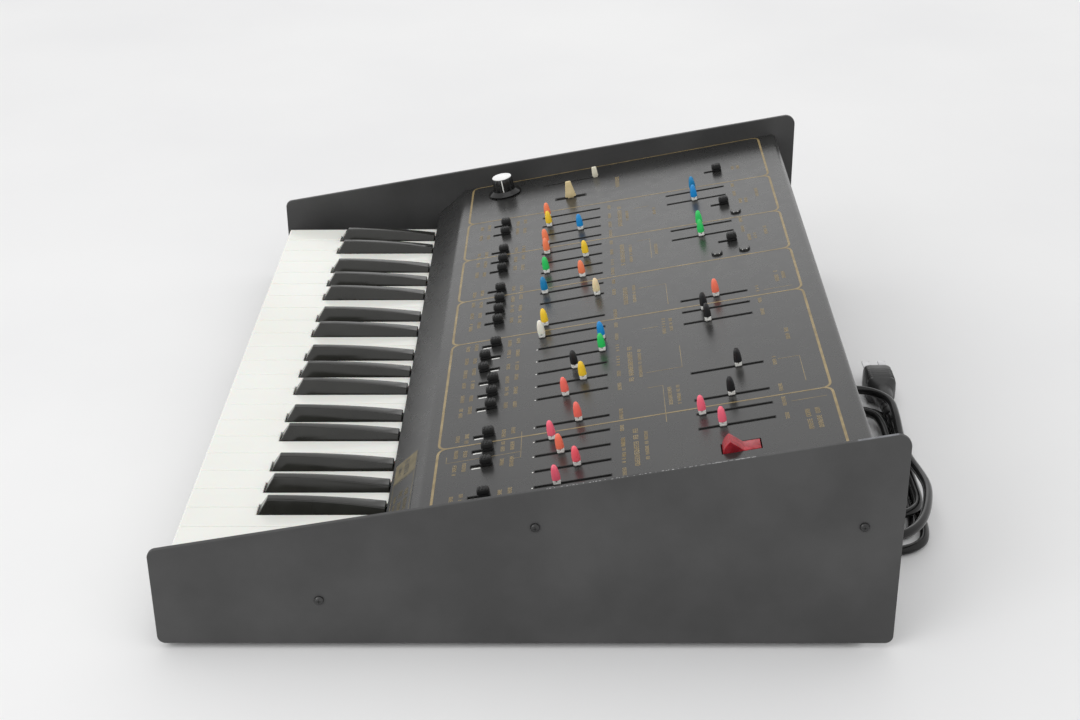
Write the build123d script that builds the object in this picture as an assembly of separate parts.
from build123d import *
from math import atan2, cos, degrees, hypot, pi, radians, sin, tan
import os

# Analogue keyboard synthesizer, 37 keys. Millimetres.
# +X is the player's right, +Y the back, +Z up. The origin is on the table under the middle of the case.

# ---- case ----
case_width = 577.0            # outside of one side panel to outside of the other
case_depth = 453.0
foot_height = 4.0
side_sheet = 3.0
side_front_top = 71.3         # top edge of a side panel at the front, above the table
side_back_top = 151.6         # and at the back
side_top_radius = 8.0
side_front_radius = 6.0
side_foot_radius = 5.0
sheet = 1.5                   # every folded sheet but the side panels

# ---- control panel: an inclined top, a bend, and a fascia that leans over the keys ----
panel_tilt = 10.7             # degrees
panel_mid_height = 93.9       # top surface above the table where y is 0
panel_back = 210.25
bend_line = -64.45            # where the top and the fascia would meet
bend_radius = 8.0
back_bend_radius = 4.0
fascia_foot = -91.5           # where the fascia and the lip would meet
fascia_foot_height = 57.0
lip_radius = 2.0
lip_length = 14.0
back_flange = 16.0
side_flange = 15.0

# ---- controls on the panel ----
column_pitch = 19.05
first_column = -183.7
slot_length = 47.7
slot_width = 2.2
low_slot_front = 6.95         # y of the front end of the lower row of slots
high_slot_front = 109.35
switch_slot_length = 13.6
switch_slot_width = 3.0
low_switch_front = -34.05
high_switch_front = 143.75
knob_y = -27.75
knob_column = -4
transpose_column = -2
transpose_slot_front = 17.95
transpose_slot_length = 24.5
transpose_slot_width = 3.4
trimmer_holes = [(-124.1, 161.4), (-48.0, 161.4), (-48.2, 140.8)]
trimmer_hole_radius = 2.0
power_x = 245.5
power_y = 132.8
power_window = (12.4, 24.8)

# ---- keyboard ----
white_pitch = 23.5
white_count = 22
key_gap = 0.9
octave = 7 * white_pitch
semitone = octave / 12        # width that each of the twelve key tails takes
key_front = -219.5
white_top = 55.5
key_plate = 2.4
key_wall = 1.7
key_depth = 12.0
lip_depth = 18.0
black_front = -171.05
black_back = -91.45
black_width = 12.2
black_crown = 9.4             # height of the head over the white keys, in front
black_tail_crown = 3.9        # and at its back
black_draft = 0.34            # how fast its sides lean in
key_tail = -12.0
fulcrum_y = -27.75
fulcrum_z = 48.5
fulcrum_play = 0.3

# ---- mains lead ----
cord_diameter = 6.4
gland_x = 204.0
gland_z = 26.0
gland_tip = 219.0
hank_start = 70.0             # where the free lead becomes the hank's first run
hank_near_case = 218.0        # middle of the run beside the case
hank_far_out = 278.0          # and of the run farthest from it
hank_left = (8.0, 3.0, 16.0)        # centres of the three bends at the player's left
hank_right = (157.0, 138.0, 118.0)  # and of the three at the player's right, fanned out
hank_lift = 23.4              # height at which the first bend crosses over the plug's sleeve
lead_drop = 19.0              # and of the free lead where it joins the hank
turn_pitch = 7.2              # from one turn to the next, side by side
layer_pitch = 7.0             # and one on the other
plug_x = 9.0                  # where the plug's sleeve begins
plug_height = 12.5

tilt = radians(panel_tilt)
half_width = case_width / 2
inner_face = half_width - side_sheet
keyboard_left = -white_pitch * white_count / 2
black_steps = (1, 3, 6, 8, 10)
white_steps = (0, 2, 4, 5, 7, 9, 11)
step_names = ("c", "c_sharp", "d", "d_sharp", "e", "f",
              "f_sharp", "g", "g_sharp", "a", "a_sharp", "b")


def block(x0, x1, y0, y1, z0, z1):
    """Box between two opposite corners."""
    corner_box = Box(x1 - x0, y1 - y0, z1 - z0)
    return Pos((x0 + x1) / 2, (y0 + y1) / 2, (z0 + z1) / 2) * corner_box


def prism(points, x0, x1):
    """Polygon of (y, z) points carried along X."""
    face = Plane.YZ * make_face(Polyline(*points, close=True))
    return Pos(x0, 0, 0) * extrude(face, x1 - x0)


def save(name, solids):
    """Write one node, from a solid or a list of separate solids."""
    if isinstance(solids, list):
        solids = Compound(children=[s.solid() for s in solids])
    export_step(solids, f"parts/{name}.step")


def panel_height(y):
    return panel_mid_height + y * tan(tilt)


def on_panel(x, y, lift=0.0):
    """Place on the panel's top surface: local Y runs up the slope, local Z away from it."""
    normal = (0, -sin(tilt), cos(tilt))
    origin = (x, y + lift * normal[1], panel_height(y) + lift * normal[2])
    return Plane(origin=origin, x_dir=(1, 0, 0), z_dir=normal)


def column(number):
    return first_column + column_pitch * number


def slope_box(place, width, length, low, high, shift=0.0):
    """Box on the panel's slope, from local height low to high."""
    return place * Pos(0, shift, (low + high) / 2) * Box(width, length, high - low)


# ---- where every slider and switch stands ----
# column number and how far back the lever stands, from 0 (front) to 1 (back)
low_sliders = {
    0: 0.05, 1: 0.08, 2: 0.68, 3: 0.03, 4: 0.05, 5: 0.77, 6: 0.05, 7: 0.70, 8: 0.03,
    9: 0.95, 11: 0.05, 12: 0.0, 13: 1.0, 14: 1.0, 15: 0.55, 16: 0.68, 17: 0.40,
    19: 0.60, 20: 0.20, 21: 0.33, 22: 0.57, 23: 0.28,
}
high_sliders = {
    0: 0.47, 1: 0.47, 4: 0.48, 5: 0.48, 11: 0.54, 12: 0.31, 13: 0.34, 17: 0.68,
    19: 0.50, 20: 0.03, 21: 0.30,
}
glide_slider = (-4, 1.0)
# levers that rest at about the same place share a body
low_groups = {
    "sliders_low_1_2": (0, 1), "sliders_low_3_6_8": (2, 5, 7), "sliders_low_4_5": (3, 4),
    "sliders_low_7_9": (6, 8), "sliders_low_11_12": (11, 12), "sliders_low_10_13_14": (9, 13, 14),
    "sliders_low_15_16": (15, 16), "sliders_low_17_20": (17, 21), "sliders_low_18_21": (19, 22),
    "sliders_low_19_22": (20, 23),
}
high_groups = {
    "sliders_high_1_2": (0, 1), "sliders_high_3_4": (4, 5), "sliders_high_5_9": (11, 19),
    "sliders_high_6_7_11": (12, 13, 21), "slider_high_8": (17,), "slider_high_10": (20,),
}
switches_back = (0, 1, 3, 4, 5, 7, 8, 9, 10, 12, 15, 16, 17, 19, 20, 21, 23)
switches_front = (13, 14)
switches_high = (-2, 2, 6)


def many_sided(foot_radius, top_radius, height, sides):
    """Small round boss or sleeve, straight or tapered, in flat facets."""
    foot = RegularPolygon(foot_radius, sides)
    return loft([foot, Pos(0, 0, height) * RegularPolygon(top_radius, sides)], ruled=True)


def case_side(sign):
    """Flat side panel: its top edge rises to the back, its four corners are rounded."""
    half = case_depth / 2
    points = [(-half, foot_height), (-half, side_front_top),
              (half, side_back_top), (half, foot_height)]
    face = make_face(Polyline(*points, close=True))
    corners = face.vertices().sort_by(Axis.Y)
    face = fillet(corners[3:], side_top_radius)
    front_top = face.vertices().sort_by_distance((-half, side_front_top, 0))[0]
    face = fillet(front_top, side_front_radius)
    face = fillet(face.vertices().sort_by(Axis.Y)[:2], side_foot_radius)
    panel = extrude(Plane.YZ * face, side_sheet)
    return Pos(inner_face if sign > 0 else -half_width, 0, 0) * panel


def side_screws():
    """Heads of the screws that hold the side panels, three a side."""
    head = many_sided(3.5, 2.7, 1.9, 16)
    spots = ((-124.35, 36.2), (7.85, 88.0), (203.0, 88.2))
    return [Pos(sign * half_width, y, z) * Rot(0, 90 * sign, 0) * head
            for sign in (-1, 1) for y, z in spots]


def base_pan():
    """Bottom tray: low front wall, flanges up the sides, and posts for the voice board."""
    front = -case_depth / 2 + 3
    back = panel_back - sheet
    floor = foot_height + sheet
    flange_top = 45.0
    front_top = 31.0
    pan = block(-inner_face, inner_face, front, back, foot_height, floor)
    pan += block(-inner_face, inner_face, front, front + sheet, floor, front_top)
    for sign in (-1, 1):
        side = sorted((sign * inner_face, sign * (inner_face - sheet)))
        pan += block(side[0], side[1], front, back, floor, flange_top)
    post = extrude(RegularPolygon(4, 6), board_height - floor)
    return pan + [Pos(x, y, floor) * post for x, y in board_posts]


def rubber_feet():
    feet = []
    for x in (-268, 268):
        for y in (-190, 202):
            foot = Cone(7.0, 8.0, foot_height, align=(Align.CENTER, Align.CENTER, Align.MIN))
            feet.append(Pos(x, y, 0) * foot)
    return feet


def bent_sheet():
    """Section of the control panel: lip, fascia, inclined top and back flange."""
    line = [(fascia_foot + lip_length, fascia_foot_height),
            (fascia_foot, fascia_foot_height),
            (bend_line, panel_height(bend_line)),
            (panel_back, panel_height(panel_back)),
            (panel_back, panel_height(panel_back) - back_flange)]
    radii = [lip_radius, bend_radius, back_bend_radius]
    outer = FilletPolyline(*line, radius=radii)
    section = offset(outer, amount=sheet, side=Side.RIGHT, closed=True)
    return extrude(Plane.YZ * make_face(section), inner_face, both=True)


def control_panel():
    """Folded steel panel with a slot for every lever, and the windows and holes."""
    panel = bent_sheet()
    flange_back = panel_back - 22
    flange_front = bend_line + 12
    for sign in (-1, 1):
        x = sign * (inner_face - sheet / 2)
        middle = (flange_back + flange_front) / 2
        length = (flange_back - flange_front) / cos(tilt)
        panel += slope_box(on_panel(x, middle), sheet, length, -side_flange, -sheet / 2)
    cuts = []
    for number in low_sliders:
        cuts.append(slot(column(number), low_slot_front, slot_length, slot_width))
    for number in high_sliders:
        cuts.append(slot(column(number), high_slot_front, slot_length, slot_width))
    cuts.append(slot(column(glide_slider[0]), low_slot_front, slot_length, slot_width))
    cuts.append(slot(column(transpose_column), transpose_slot_front,
                     transpose_slot_length, transpose_slot_width))
    for number in switches_back + switches_front:
        cuts.append(slot(column(number), low_switch_front, switch_slot_length, switch_slot_width))
    for number in switches_high:
        cuts.append(slot(column(number), high_switch_front, switch_slot_length, switch_slot_width))
    cuts.append(slope_box(on_panel(power_x, power_y), *power_window, -5, 5))
    for x, y in trimmer_holes:
        cuts.append(on_panel(x, y) * Cylinder(trimmer_hole_radius, 10))
    cuts.append(on_panel(column(knob_column), knob_y) * Cylinder(3.6, 10))
    return panel - cuts


def slot(x, front, length, width):
    """Cutter for one slot, from its front end up the slope."""
    return slope_box(on_panel(x, front), width, length, -6, 6, shift=length / 2)


def rear_panel():
    """Back plate with folded ends, drilled for the sockets, the fuse and the lead."""
    outer = panel_back - sheet
    floor = foot_height + sheet
    top = panel_height(panel_back) - 9
    fold = 17.0
    end = inner_face - sheet
    plate = block(-end, end, outer - sheet, outer, floor, top)
    for sign in (-1, 1):
        side = sorted((sign * end, sign * inner_face))
        plate += block(side[0], side[1], outer - fold, outer, 45.3, top)
    for x in large_jack_x:
        plate -= back_hole(x, jack_z, large_jack_radius)
    for x in small_jack_x:
        plate -= back_hole(x, jack_z, small_jack_radius)
    plate -= back_hole(fuse_x, fuse_z, fuse_radius)
    plate -= back_hole(gland_x, gland_z, gland_neck)
    return plate


jack_z = 66.0
large_jack_x = (-40.0, 0.0)
small_jack_x = (60.0, 85.0, 110.0, 150.0)
large_jack_radius = 4.8
small_jack_radius = 3.1
fuse_x = -170.0
fuse_z = 30.0
fuse_radius = 6.0
gland_neck = 6.0


def back_hole(x, z, radius):
    return Pos(x, panel_back, z) * Rot(90, 0, 0) * Cylinder(radius, 20)


def socket(x, bush_radius, bore_radius, nut_radius, body):
    """Panel socket: bush through the plate, hex nut outside, square body inside."""
    outer = panel_back - sheet
    back = Pos(x, outer, jack_z) * Rot(-90, 0, 0)
    low = (Align.CENTER, Align.CENTER, Align.MIN)
    bush = Cylinder(bush_radius, 8.5, align=low)
    bush = Pos(0, 0, -4.0) * bush
    nut = extrude(RegularPolygon(nut_radius, 6), 2.4)
    inside = Pos(0, 0, -sheet) * Box(body, body, body * 1.4, align=(Align.CENTER, Align.CENTER, Align.MAX))
    bore = Pos(0, 0, -9.0) * Cylinder(bore_radius, 20, align=low)
    return back * (bush + nut + inside - bore)


def large_jacks():
    return [socket(x, large_jack_radius - 0.1, 3.3, 8.0, 14.0) for x in large_jack_x]


def small_jacks():
    return [socket(x, small_jack_radius - 0.1, 1.8, 5.2, 9.0) for x in small_jack_x]


def fuse_holder():
    outer = panel_back - sheet
    low = (Align.CENTER, Align.CENTER, Align.MIN)
    cap = Cylinder(8.0, 7.0, align=low)
    cap = chamfer(cap.edges().group_by(Axis.Z)[-1], 1.0)
    cap -= Pos(0, 0, 7) * Box(11, 1.6, 2.4)
    barrel = Pos(0, 0, -34) * Cylinder(fuse_radius - 0.1, 34, align=low)
    return Pos(fuse_x, outer, fuse_z) * Rot(-90, 0, 0) * (cap + barrel)


# ---- keyboard ----
bed_top = 25.5
bed_front = key_front - 1.4
bed_back = -9.0
keyboard_end = -keyboard_left - 0.5


def key_bed():
    """Folded chassis under the keys, with the knife-edge rail on which they all rock."""
    floor = foot_height + sheet
    bed = block(-keyboard_end, keyboard_end, bed_front, bed_back, bed_top - sheet, bed_top)
    bed += block(-keyboard_end, keyboard_end, bed_front, bed_front + sheet, floor, bed_top - sheet)
    bed += block(-keyboard_end, keyboard_end, bed_back - sheet, bed_back, floor, bed_top - sheet)
    edge = fulcrum_z - 0.05
    section = [(fulcrum_y - 6, bed_top), (fulcrum_y - 6, bed_top + 2), (fulcrum_y - 1.5, bed_top + 2),
               (fulcrum_y - 1.5, edge - 3.2), (fulcrum_y, edge), (fulcrum_y + 1.5, edge - 3.2),
               (fulcrum_y + 1.5, bed_top)]
    return bed + prism(section, -keyboard_end, keyboard_end)


def key_felt():
    """Felt strip that stops the fronts of the keys."""
    return block(-keyboard_end, keyboard_end, key_front, key_front + 14, bed_top, bed_top + 1.6)


def tail_middles():
    """Middle of every key's tail, by key number from the left."""
    places = []
    for number in range(37):
        turn, step = divmod(number, 12)
        if step in white_steps and number < 36:
            low, high = white_edges(number)[2:]
            places.append((low + high) / 2)
        elif number == 36:
            places.append(keyboard_left + 3 * octave + white_pitch / 2)
        else:
            places.append(keyboard_left + turn * octave + (step + 0.5) * semitone)
    return places


def key_springs():
    """Tension springs behind the fulcrum, one a key, shown as their outer cylinders."""
    low = (Align.CENTER, Align.CENTER, Align.MIN)
    length = white_top - key_depth - fulcrum_play - bed_top
    body = extrude(RegularPolygon(2.2, 6), length)
    return [Pos(x, key_tail - 4, bed_top) * body for x in tail_middles()]


def key_contact_board():
    """Circuit board on the bed with a contact block under each key."""
    thick = 1.6
    end = keyboard_end - 6
    board = block(-end, end, -112, -62, bed_top, bed_top + thick)
    for x in tail_middles():
        board += block(x - 2.5, x + 2.5, -92, -78, bed_top + thick, bed_top + 8)
    return board


def end_cheeks():
    """Blocks that fill the case beside the first and the last key."""
    floor = foot_height + sheet
    inside = inner_face - sheet
    cheek = block(-keyboard_left + 1.0, inside, key_front, fascia_foot + 2, floor, 38.0)
    cheek = fillet(cheek.edges().filter_by(Axis.X).group_by(Axis.Z)[-1].sort_by(Axis.Y)[0], 4)
    return [cheek, mirror(cheek, about=Plane.YZ)]


def white_edges(number):
    """Left and right edge of a white key's front, then of its tail between the black keys."""
    turn, step = divmod(number, 12)
    place = white_steps.index(step)
    start = keyboard_left + turn * octave
    left = start + place * white_pitch + key_gap / 2
    right = left + white_pitch - key_gap
    tail_left = left
    tail_right = right
    if step - 1 in black_steps:
        tail_left = start + step * semitone
    if step + 1 in black_steps and number < 36:
        tail_right = start + (step + 1) * semitone
    return left, right, tail_left, tail_right


def fulcrum_notch(x0, x1):
    """V-shaped notch under a key's tail, clear of the knife edge."""
    apex = fulcrum_z + fulcrum_play
    low = white_top - key_depth - 1
    return prism([(fulcrum_y, apex), (fulcrum_y + apex - low, low), (fulcrum_y - apex + low, low)], x0, x1)


def white_key(number):
    """Hollow moulded key: full width in front, notched for the black keys behind."""
    left, right, tail_left, tail_right = white_edges(number)
    bottom = white_top - key_depth
    shoulder = black_front - 1.0
    front = block(left, right, key_front, shoulder, bottom, white_top)
    tail = block(tail_left, tail_right, shoulder, key_tail, bottom, white_top)
    lip = block(left, right, key_front, key_front + key_wall, white_top - lip_depth, bottom)
    roof = white_top - key_plate
    hollow = block(left + key_wall, right - key_wall, key_front + key_wall,
                   shoulder - key_wall, bottom, roof)
    hollow += block(tail_left + key_wall, tail_right - key_wall, shoulder - 2 * key_wall,
                    fulcrum_y - 12, bottom, roof)
    key = front + tail + lip - hollow - fulcrum_notch(left, right)
    nose = key.edges().filter_by(Axis.X).filter_by_position(Axis.Y, key_front - 0.1, key_front + 0.1)
    return fillet(nose.group_by(Axis.Z)[-1], 1.4)


def black_key(number):
    """Key whose head slopes in front, leans in at the sides and arches down to the back."""
    turn, step = divmod(number, 12)
    middle = keyboard_left + turn * octave + (step + 0.5) * semitone
    bottom = white_top - key_depth
    head_foot = white_top - 4.0
    top = white_top + black_crown
    slope_top = black_front + 6.0
    back = black_back + 2
    outline = Polyline((back, white_top + black_tail_crown), (back, head_foot),
                       (black_front, head_foot), (black_front, white_top), (slope_top, top))
    crown = TangentArc((slope_top, top), (back, white_top + black_tail_crown), tangent=(1, 0))
    side = make_face(Curve() + [outline, crown])
    head = Pos(middle - 10, 0, 0) * extrude(Plane.YZ * side, 20)
    half = black_width / 2
    narrow = half - black_draft * 12
    section = Polyline((-half, head_foot), (half, head_foot), (half, white_top),
                       (narrow, white_top + 12), (-narrow, white_top + 12), (-half, white_top),
                       close=True)
    head &= Pos(middle, black_front - 1, 0) * extrude(Plane.XZ * make_face(section), -90)
    long_edges = [e for e in head.edges() if e.center().Z > white_top + 5 and e.length > 60]
    head = chamfer(long_edges, 0.7)
    body = block(middle - half, middle + half, black_front, key_tail, bottom, head_foot)
    stem = block(middle - half + 2, middle + half - 2, black_back - 6, key_tail, head_foot, head_foot + 3)
    key = head + body + stem
    return key - fulcrum_notch(middle - half, middle + half)


def keys_of(step):
    """Every key of one note of the scale: three, or four for the C at both ends."""
    make = white_key if step in white_steps else black_key
    return [last_key() if number == 36 else make(number) for number in range(step, 37, 12)]


def last_key():
    """The top C has no black key on its right, so its tail is full width there."""
    return white_key(36)


# ---- levers, tracks and their board ----
track_depth = 9.0
stem_thick = 1.4
stem_long = 3.6
end_play = 0.4
slider_travel = slot_length - stem_long - 2 * end_play
carriage_low = -7.2


def lever_place(x, slot_front, share):
    """Place on the panel of a slider lever that stands at a share of its travel."""
    along = end_play + stem_long / 2 + share * slider_travel
    return on_panel(x, slot_front + along * cos(tilt))


def slider_lever(place):
    """Carriage, stem, collar and push-on sleeve of one slider."""
    lever = slope_box(place, 5.2, 5.0, carriage_low, -3.4)
    lever += slope_box(place, stem_thick, stem_long, -3.6, 1.4)
    lever += slope_box(place, 4.2, 5.4, 1.0, 3.0)
    sleeve = extrude(Rectangle(4.6, 5.8), 10.4, taper=4.5)
    sleeve = chamfer(sleeve.edges().group_by(Axis.Z)[-1], 0.9)
    return lever + place * Pos(0, 0, 2.9) * sleeve


def glide_lever():
    """Plain blade-shaped lever of the glide slider."""
    place = lever_place(column(glide_slider[0]), low_slot_front, glide_slider[1])
    lever = slope_box(place, 5.2, 5.0, carriage_low, -3.4)
    lever += slope_box(place, stem_thick, stem_long, -3.6, 1.4)
    blade = extrude(Rectangle(2.6, 5.2), 10.5, taper=3.0)
    return lever + place * Pos(0, 0, 1.0) * blade


def track(place, length, width):
    """Open-topped channel under a slot, in which a carriage slides."""
    wall = 1.1
    low = -sheet - track_depth
    channel = slope_box(place, width, length, low, -sheet)
    return channel - slope_box(place, width - 2 * wall, length - 2 * wall, low + wall, 0)


def slider_tracks():
    tracks = []
    rows = ((low_sliders, low_slot_front), (high_sliders, high_slot_front),
            ({glide_slider[0]: 1.0}, low_slot_front))
    for row, front in rows:
        for number in row:
            middle = front + slot_length / 2 * cos(tilt)
            tracks.append(track(on_panel(column(number), middle), slot_length + 9, 9.0))
    return tracks


# ---- slide switches ----
switch_travel = 5.6
switch_stem = 4.6


def switch_lever(x, slot_front, at_back):
    """Square-topped lever of a two-way slide switch."""
    low_end = 1.0 + switch_stem / 2
    along = low_end + (switch_travel + 0.6 if at_back else 0.6)
    place = on_panel(x, slot_front + along * cos(tilt))
    lever = slope_box(place, 6.0, 5.6, -6.2, -3.4)
    lever += slope_box(place, 2.0, switch_stem, -3.6, 1.0)
    cap = chamfer(Box(5.6, 6.4, 5.6).edges().group_by(Axis.Z)[-1], 0.6)
    return lever + place * Pos(0, 0, 0.5 + 2.8) * cap


def switch_bodies():
    """Channels of the slide switches and, longer, of the transpose switch."""
    bodies = []
    rows = ((switches_back + switches_front, low_switch_front), (switches_high, high_switch_front))
    for row, front in rows:
        for number in row:
            middle = front + switch_slot_length / 2 * cos(tilt)
            bodies.append(track(on_panel(column(number), middle), 19.0, 10.0))
    return bodies + [track(transpose_place(), 32.0, 11.0)]


def transpose_lever():
    """Tapered paddle of the three-way transpose switch, at its middle stop."""
    place = transpose_place()
    lever = slope_box(place, 6.0, 6.0, -6.2, -3.4)
    lever += slope_box(place, 2.4, 5.0, -3.6, 1.2)
    low = Pos(0, 0, 1.0) * Rectangle(4.4, 9.4)
    high = Pos(0, 0, 16.5) * Rectangle(3.0, 4.8)
    return lever + place * loft([low, high])


def transpose_place():
    return on_panel(column(transpose_column),
                    transpose_slot_front + transpose_slot_length / 2 * cos(tilt))


# ---- pitch knob ----
knob_height = 15.8


def knob_place():
    return on_panel(column(knob_column), knob_y)


def pitch_knob():
    """Skirted knob on its shaft: fluted grip with a bright disc set on top."""
    low = (Align.CENTER, Align.CENTER, Align.MIN)
    skirt = Pos(0, 0, 0.8) * Cone(14.4, 10.6, 3.6, align=low)
    flutes = 12
    rim = [(9.4 - 0.9 * (n % 2), 180 * n / flutes) for n in range(2 * flutes)]
    outline = [(r * cos(radians(a)), r * sin(radians(a))) for r, a in rim]
    star = make_face(Polyline(*outline, close=True))
    grip = Pos(0, 0, 4.0) * extrude(star, knob_height - 4.6, taper=3.0)
    shaft = Pos(0, 0, -6) * Cylinder(3.1, 7.2, align=low)
    disc = Pos(0, 0, knob_height - 0.7) * Cylinder(8.4, 0.7, align=low)
    return knob_place() * (skirt + grip + shaft + disc)


def pitch_pot():
    """Potentiometer can under the panel, bored for the knob's shaft."""
    low = (Align.CENTER, Align.CENTER, Align.MIN)
    can = Pos(0, 0, -sheet - 10) * Cylinder(12, 10, align=low)
    can -= Pos(0, 0, -7) * Cylinder(3.6, 10, align=low)
    return knob_place() * can


# ---- power switch ----
rocker_radius = 12.0
rocker_pivot = -3.0
rocker_v = 22.0


def power_place():
    return on_panel(power_x, power_y)


def power_rocker():
    """V-topped rocker, switched on: its back half is flush and its front half stands up."""
    disc = Rot(0, 90, 0) * Cylinder(rocker_radius, power_window[0] - 1.0)
    notch = [(0, 3.3), (-20, 3.3 + 20 * tan(radians(rocker_v))), (0, 40),
             (20, 3.3 + 20 * tan(radians(rocker_v)))]
    disc -= prism(notch, -10, 10)
    disc -= block(-10, 10, -20, 20, -20, -5.5)
    return power_place() * Pos(0, 0, rocker_pivot) * Rot(-rocker_v, 0, 0) * disc


def power_switch():
    """Housing of the power switch, clipped under its window."""
    depth = 20.0
    place = power_place()
    housing = slope_box(place, power_window[0] + 3, power_window[1] + 3, -depth, -sheet)
    return housing - slope_box(place, *power_window, -depth + 1.5, 0)


# ---- boards and power supply ----
def control_board():
    """Board under the tracks, cut away round the knob and the power switch."""
    low = -sheet - track_depth - 1.6
    front = -40.0
    back = 186.0
    middle = (front + back) / 2
    place = on_panel(0, middle)
    board = slope_box(place, 548, (back - front) / cos(tilt), low, low + 1.6)
    board -= slope_box(knob_place(), 34, 40, low - 3, low + 5)
    board -= slope_box(power_place(), power_window[0] + 7, power_window[1] + 7, low - 3, low + 5)
    return board


board_height = 12.0
board_posts = [(x, y) for x in (-230, -95, 40) for y in (10, 180)]


def main_board():
    """Voice board low in the case, with its tall parts as blocks."""
    top = board_height + 1.6
    board = block(-240, 50, 0, 190, board_height, top)
    for x in range(-215, 40, 30):
        for y in (35, 80, 125):
            board += block(x - 4, x + 4, y, y + 20, top, top + 4)
    return board


def power_transformer():
    """Laminated core on its bracket, with the winding through it."""
    floor = foot_height + sheet
    x, y = 190.0, 60.0
    core = block(x - 30, x + 30, y - 12, y + 12, floor + 2, floor + 50)
    winding = block(x - 19, x + 19, y - 24, y + 24, floor + 11, floor + 41)
    winding = fillet(winding.edges().filter_by(Axis.Z), 6)
    foot = block(x - 44, x + 44, y - 12, y + 12, floor, floor + 2)
    foot -= [Pos(x + side * 38, y, floor) * Cylinder(2.2, 10) for side in (-1, 1)]
    return core + winding + foot


def supply_board():
    """Rectifier and regulator board with its heat sink, beside the transformer."""
    floor = foot_height + sheet
    board = block(110, 270, 105, 185, board_height, board_height + 1.6)
    for x in (118, 262):
        for y in (113, 177):
            board += block(x - 3, x + 3, y - 3, y + 3, floor, board_height)
    sink_foot = board_height + 1.6
    board += block(130, 250, 165, 167, sink_foot, sink_foot + 34)
    for x in range(134, 250, 14):
        board += block(x - 1, x + 1, 167, 177, sink_foot, sink_foot + 34)
    for x in (140, 170):
        can = Cylinder(9, 30, align=(Align.CENTER, Align.CENTER, Align.MIN))
        board += Pos(x, 130, sink_foot) * can
    return board


# ---- mains lead ----
cord_radius = cord_diameter / 2
# points of the free lead: out of the gland and round towards the hank, high over its ends
lead_points = [
    (204.0, 219.0, 26.0),
    (204.0, 237.5, 26.0),
    (194.7, 253.6, 25.8),
    (178.6, 263.9, 25.0),
    (154.0, 271.5, 23.2),
    (128.0, 276.6, 21.0),
    (104.0, 278.0, 19.4),
    (87.0, 278.0, 19.0),
    (70.0, 278.0, 19.0),
]


def cord_section(path):
    """Octagon across the path's start, with a flat side down."""
    ends = Plane(origin=path @ 0, z_dir=path % 0)
    return ends * RegularPolygon(cord_radius, 8, major_radius=False, rotation=22.5)


def cord_gland():
    """Strain relief: neck through the back plate, flange, and a tapered sleeve."""
    low = (Align.CENTER, Align.CENTER, Align.MIN)
    outer = panel_back - sheet
    flange = 2.5
    sleeve_length = gland_tip - outer
    gland = Pos(0, 0, -5) * Cylinder(gland_neck - 0.1, 6, align=low)
    gland += many_sided(9.0, 9.0, flange, 24)
    gland += many_sided(6.2, 4.3, sleeve_length, 20)
    return Pos(gland_x, outer, gland_z) * Rot(-90, 0, 0) * gland


def cord_lead():
    """Free stretch of the lead: straight runs joined by tangent arcs."""
    points = [Vector(*p) for p in lead_points]
    radii = []
    for before, here, after in zip(points, points[1:], points[2:]):
        turn = radians((here - before).get_angle(after - here))
        shorter = min((here - before).length, (after - here).length)
        radii.append(0.45 * shorter / tan(turn / 2))
    print("lead radii", [round(r, 1) for r in radii])
    path = FilletPolyline(*points, radius=radii)
    section = cord_section(path)
    tube = sweep(section, path=path)
    print("lead length", round(path.length, 1), "volume ratio",
          round(tube.volume / (section.area * path.length), 4))
    return tube


def climb(start, end):
    """Gentle S of two equal arcs between two points, level at both ends, or a level run."""
    if start[2] == end[2]:
        return [Line(start, end)]
    start = Vector(*start)
    end = Vector(*end)
    heading = Vector(end.X - start.X, 0, 0).normalized()
    middle = (start + end) * 0.5
    first = TangentArc(start, middle, tangent=heading)
    return [first, TangentArc(middle, end, tangent=first % 1)]


def hank_path():
    """Long loops: one crosses over the plug's sleeve, two more spiral in beneath and climb."""
    low = cord_radius
    high = cord_radius + layer_pitch
    out = [hank_far_out - turn_pitch * n for n in range(3)]
    near = [hank_near_case + turn_pitch * n for n in range(2)]
    # each row: y of a run to the left, height of the bend there, y and end height of the run
    # back, and y of the next run
    rounds = [(out[0], hank_lift, near[0], low, out[1]),
              (out[1], low, near[1], low, out[2]),
              (out[2], high, near[1], high, out[1])]
    edges = []
    x = hank_start
    z = lead_drop
    for (run_y, left_z, back_y, right_z, next_y), left, right in zip(rounds, hank_left, hank_right):
        edges += climb((x, run_y, z), (left, run_y, left_z))
        edges.append(half_turn(left, run_y, back_y, left_z, -1))
        edges += climb((left, back_y, left_z), (right, back_y, right_z))
        edges.append(half_turn(right, back_y, next_y, right_z, 1))
        x = right
        z = right_z
    bend_end = plug_x + 19
    edges += climb((x, out[1], high), (bend_end, out[1], plug_height))
    edges.append(Line((bend_end, out[1], plug_height), (plug_x, out[1], plug_height)))
    return Wire(edges)


def half_turn(x, y0, y1, z, side):
    """Half circle about x from one run to the next, bulging to the given side."""
    radius = abs(y1 - y0) / 2
    return ThreePointArc((x, y0, z), (x + side * radius, (y0 + y1) / 2, z), (x, y1, z))


def cord_hank():
    """The wound part of the lead, one unbroken tube."""
    path = hank_path()
    section = cord_section(path)
    tube = sweep(section, path=path)
    print("hank length", round(path.length, 1), "volume ratio",
          round(tube.volume / (section.area * path.length), 4))
    print("hank least gap to itself", round(least_gap(path), 2))
    return tube


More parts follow.
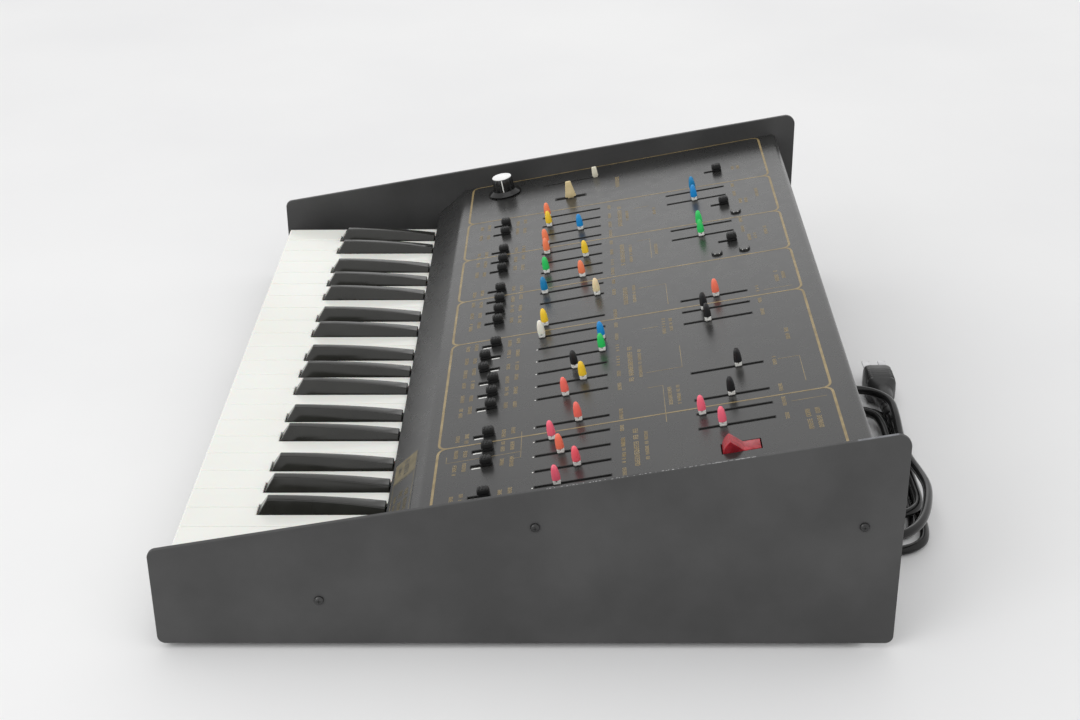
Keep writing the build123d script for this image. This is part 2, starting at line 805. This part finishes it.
def least_gap(path):
    """Least clear distance between stretches of the tube that are far apart along it."""
    count = int(path.length / 2.5)
    spots = [path.position_at(n / count) for n in range(count + 1)]
    apart = 16
    return min((a - b).length for n, a in enumerate(spots) for b in spots[n + apart:]) - cord_diameter


def mains_plug():
    """Moulded plug lying on the table: sleeve, round tail, ribbed body and three pins."""
    low = (Align.CENTER, Align.CENTER, Align.MIN)
    axis = Pos(plug_x, hank_far_out - turn_pitch, plug_height) * Rot(0, -90, 0)
    sleeve = many_sided(cord_radius + 0.8, 5.4, 22, 20)
    tail = Pos(0, 0, 21.5) * many_sided(7.0, 9.0, 17, 24)
    body = Pos(0, 0, 38) * extrude(RectangleRounded(25, 25, 5), 24)
    ribs = [Pos(0, 0, 42 + 5 * n) * (Box(27, 27, 1.6) - Box(23.6, 23.6, 2)) for n in range(3)]
    body -= ribs
    face = Pos(0, 0, 62) * extrude(RectangleRounded(25, 25, 4), 2.0)
    pins = [Pos(5, side * 6.3, 64) * Box(1.5, 6.2, 17, align=low) for side in (-1, 1)]
    ground = Pos(-6, 0, 64) * Cylinder(2.4, 20, align=low)
    return axis * (sleeve + tail + body + face + ground + pins)


def main():
    os.makedirs("parts", exist_ok=True)
    save("base_pan", base_pan())
    save("left_side_panel", case_side(-1))
    save("right_side_panel", case_side(1))
    save("side_screws", side_screws())
    save("rubber_feet", rubber_feet())
    save("control_panel", control_panel())
    save("rear_panel", rear_panel())
    save("end_cheeks", end_cheeks())
    save("rear_jacks", large_jacks() + small_jacks())
    save("fuse_holder", fuse_holder())
    save("key_bed", key_bed())
    save("key_felt", key_felt())
    save("key_springs", key_springs())
    save("key_contact_board", key_contact_board())
    for step, name in enumerate(step_names):
        save(f"keys_{name}", keys_of(step))
    save("slider_tracks", slider_tracks())
    for name, numbers in low_groups.items():
        save(name, [slider_lever(lever_place(column(n), low_slot_front, low_sliders[n]))
                    for n in numbers])
    for name, numbers in high_groups.items():
        save(name, [slider_lever(lever_place(column(n), high_slot_front, high_sliders[n]))
                    for n in numbers])
    save("glide_slider", glide_lever())
    save("switch_bodies", switch_bodies())
    at_back = [switch_lever(column(n), low_switch_front, True) for n in switches_back]
    at_back += [switch_lever(column(n), high_switch_front, True) for n in switches_high]
    save("switches_back", at_back)
    save("switches_front", [switch_lever(column(n), low_switch_front, False) for n in switches_front])
    save("transpose_lever", transpose_lever())
    save("pitch_knob", pitch_knob())
    save("pitch_pot", pitch_pot())
    save("power_rocker", power_rocker())
    save("power_switch", power_switch())
    save("control_board", control_board())
    save("main_board", main_board())
    save("supply_board", supply_board())
    save("power_transformer", power_transformer())
    save("cord_gland", cord_gland())
    save("cord_lead", cord_lead())
    save("cord_hank", cord_hank())
    save("mains_plug", mains_plug())


main()
